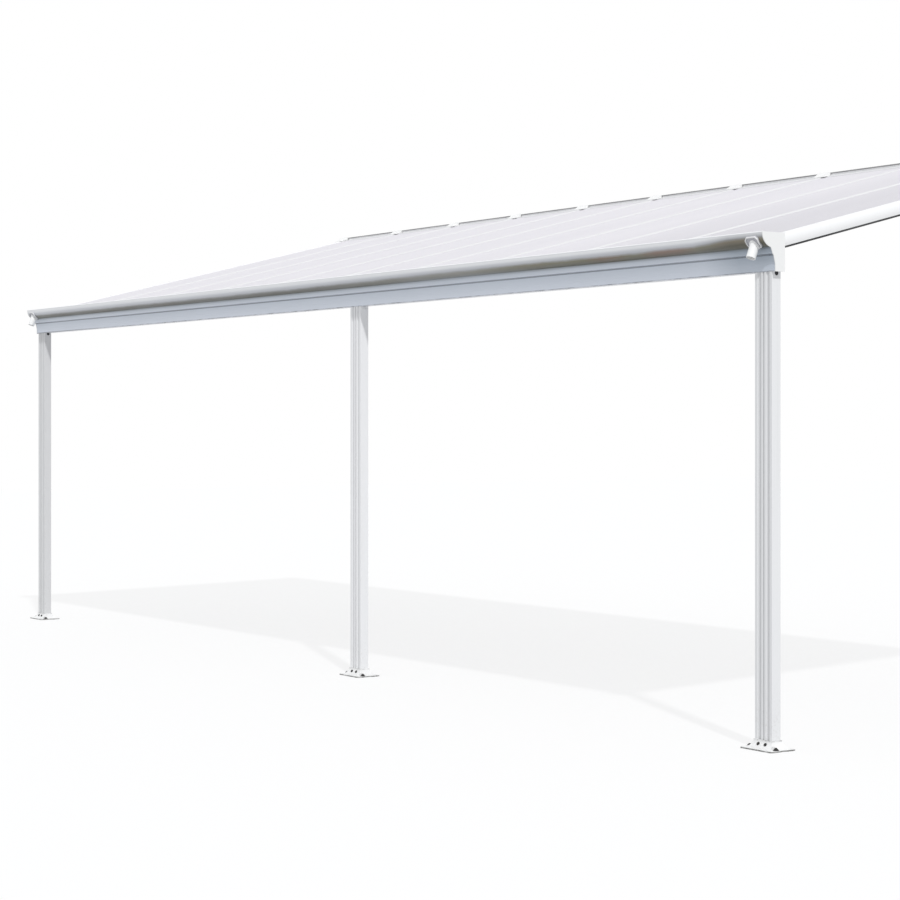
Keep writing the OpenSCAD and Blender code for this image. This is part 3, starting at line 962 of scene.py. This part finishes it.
screwLook = {
    "flangeSides": 24,
    "flangeR": 0.0068,
    "flangeH": 0.0012,
    "headR": 0.0048,
    "headH": 0.0046,
    "dish": 0.0009,
    "sunk": 0.0006,             # the flange goes this far into what it sits on
    "flangeRim": 0.22,          # shares of the radius
    "headRim": 0.2,
    "dishRim": 0.12,
    "crown": 0.35,              # share of the flange's height
    "headSoft": 0.0004,
    "flangeSoft": 0.0003,
}


def makeHexScrew(look):
    # flange and hexagon head, dished on top; its seat is at z = 0
    flange = addCylinder("screwFlange", look["flangeSides"], look["flangeR"], -look["sunk"], look["flangeH"])
    pickTop(flange)
    bpy.ops.mesh.inset(thickness=look["flangeR"] * look["flangeRim"], depth=look["flangeH"] * look["crown"])
    leaveEdit()
    head = addCylinder("screwHead", hexagon, look["headR"], look["flangeH"], look["headH"])
    pickTop(head)
    bpy.ops.mesh.inset(thickness=look["headR"] * look["headRim"], depth=0)
    bpy.ops.mesh.inset(thickness=look["headR"] * look["dishRim"], depth=-look["dish"])
    leaveEdit()
    softenEdges(head, look["headSoft"])
    softenEdges(flange, look["flangeSoft"])
    return joinPieces("hexScrew", [flange, head])


footLook = {
    "screwX": 0.021,
    "screwUp": 0.023,
    "screwGap": 0.0002,
    "screwLean": 0.62,          # rise of a screw's axis for each metre outwards
    "plateTop": 0.006,
    "flareRadius": 0.034,
    "sleeveD": 0.0566,
    "screw": {"flangeR": 0.0078, "headR": 0.0056},
}


def flareFront(up):
    # distance from the middle of a foot to its curved front, at a height over the ground
    radius = footLook["flareRadius"]
    drop = footLook["plateTop"] + radius - up
    return footLook["sleeveD"] / 2 + radius - math.sqrt(radius * radius - drop * drop)


def makeFootScrews():
    look = footLook
    reach = flareFront(look["screwUp"]) + look["screwGap"]
    height = plan["groundZ"] + look["screwUp"]
    spots = []
    for postX in plan["postX"]:
        for side in (-1, 1):
            for face in (-1, 1):
                place = (postX + side * look["screwX"], plan["postY"] + face * reach, height)
                spots.append((place, (0, face, look["screwLean"])))
    screw = makeHexScrew({**screwLook, **look["screw"]})
    settle(spread(screw, "footScrews", spots), darkZinc)


anchorLook = {
    "washerSides": 32,
    "studSides": 20,
    "holeX": 0.078,             # from the middle of a foot
    "holeFront": 0.028,
    "washerR": 0.0125,
    "washerH": 0.002,
    "washerSoft": 0.0004,
    "nutR": 0.0098,
    "nutH": 0.0055,
    "nutRim": 0.3,              # shares of the radius
    "nutChamfer": 0.1,
    "nutDish": 0.0006,
    "nutSoft": 0.0007,
    "studR": 0.0046,
    "studH": 0.0105,
    "studRim": 0.25,
    "studCrown": 0.18,
    "threads": 2,
    "threadPitch": 0.0012,
    "threadGap": 0.0006,
    "threadH": 0.0007,
    "threadOut": 0.0004,
}


def makeAnchors():
    look = anchorLook
    nutTop = look["washerH"] + look["nutH"]
    washer = addCylinder("anchorWasher", look["washerSides"], look["washerR"], 0.0, look["washerH"])
    softenEdges(washer, look["washerSoft"])
    nut = addCylinder("anchorNut", hexagon, look["nutR"], look["washerH"], nutTop)
    pickTop(nut)
    bpy.ops.mesh.inset(thickness=look["nutR"] * look["nutRim"], depth=0)
    bpy.ops.mesh.inset(thickness=look["nutR"] * look["nutChamfer"], depth=-look["nutDish"])
    leaveEdit()
    softenEdges(nut, look["nutSoft"])
    stud = addCylinder("anchorStud", look["studSides"], look["studR"], 0.0, look["studH"])
    pickTop(stud)
    bpy.ops.mesh.inset(thickness=look["studR"] * look["studRim"], depth=look["studR"] * look["studCrown"])
    leaveEdit()
    # the thread: rings round the free end
    rings = []
    for turn in range(look["threads"]):
        low = nutTop + look["threadGap"] + turn * look["threadPitch"]
        high = low + look["threadH"]
        rings.append(addCylinder("studRing", look["studSides"], look["studR"] + look["threadOut"], low, high))
    anchor = joinPieces("anchor", [washer, nut, stud] + rings)
    spots = []
    for postX in plan["postX"]:
        for side in (-1, 1):
            place = (postX + side * look["holeX"], plan["postY"] - look["holeFront"],
                     plan["groundZ"] + footLook["plateTop"])
            spots.append((place, (0, 0, 1)))
    settle(spread(anchor, "groundAnchors", spots), darkZinc)


wallLook = {
    "plateFront": -0.004,
    "flangeDrop": 0.023,        # from the rafters' underside to the screws
    "rafterDepth": 0.060,
    "screw": {"flangeR": 0.009, "headR": 0.0062, "headH": 0.006},
}


def makeWallScrews():
    look = wallLook
    height = plan["roofTop"] - look["rafterDepth"] / math.cos(plan["slope"]) - look["flangeDrop"]
    spots = []
    for bay in range(plan["bays"]):
        place = ((bay + 0.5) * plan["pitch"] - plan["half"], look["plateFront"], height)
        spots.append((place, (0, -1, 0)))
    screw = makeHexScrew({**screwLook, **look["screw"]})
    settle(spread(screw, "wallScrews", spots), paleZinc)


plugLook = {
    "sides": 28,
    "radius": 0.0096,
    "behind": 0.004,
    "proud": 0.0004,
    "rim": 0.0022,
    "dish": 0.0024,
    "soft": 0.0003,
    "drop": 0.006,              # from the gutter's underside to the plug's middle
    "headGap": 0.0003,
    "postHalf": 0.050,
    "back": 0.002,              # behind the middle of a post
}


def makeHeadPlugs():
    # plugs in the openings at the head of each post
    look = plugLook
    plug = addCylinder("headPlug", look["sides"], look["radius"], -look["behind"], look["proud"])
    pickTop(plug)
    bpy.ops.mesh.inset(thickness=look["rim"], depth=0)
    bpy.ops.mesh.extrude_region_move(TRANSFORM_OT_translate={"value": (0, 0, -look["dish"])})
    leaveEdit()
    softenEdges(plug, look["soft"])
    # the upper part would reach into the gutter, so it is cut off
    pickOnly(plug)
    bpy.ops.object.mode_set(mode="EDIT")
    bpy.ops.mesh.select_all(action="SELECT")
    bpy.ops.mesh.bisect(plane_co=(0, look["drop"] - look["headGap"], 0), plane_no=(0, 1, 0),
                        use_fill=True, clear_outer=True)
    leaveEdit()
    # the end posts get dark plugs, which stand for the shade inside their openings; the middle post gets
    # white painted ones
    left, middle, right = plan["postX"]
    for name, posts, material, slot in (("headPlugs", (left, right), sealDark, "seal_rubber"),
                                        ("middlePlugs", (middle,), postWhite, "post_paint")):
        twins = []
        for postX in posts:
            for side in (-1, 1):
                place = (postX + side * look["postHalf"], plan["postY"] + look["back"],
                         plan["gutterZ"] - look["drop"])
                twins.append(twinOf(plug, place, (math.radians(90), 0, math.radians(90 * side))))
        settle(joinPieces(name, twins), material)
    bpy.data.objects.remove(plug)


makeFootScrews()
makeAnchors()
makeWallScrews()
makeHeadPlugs()
print("fasteners made")
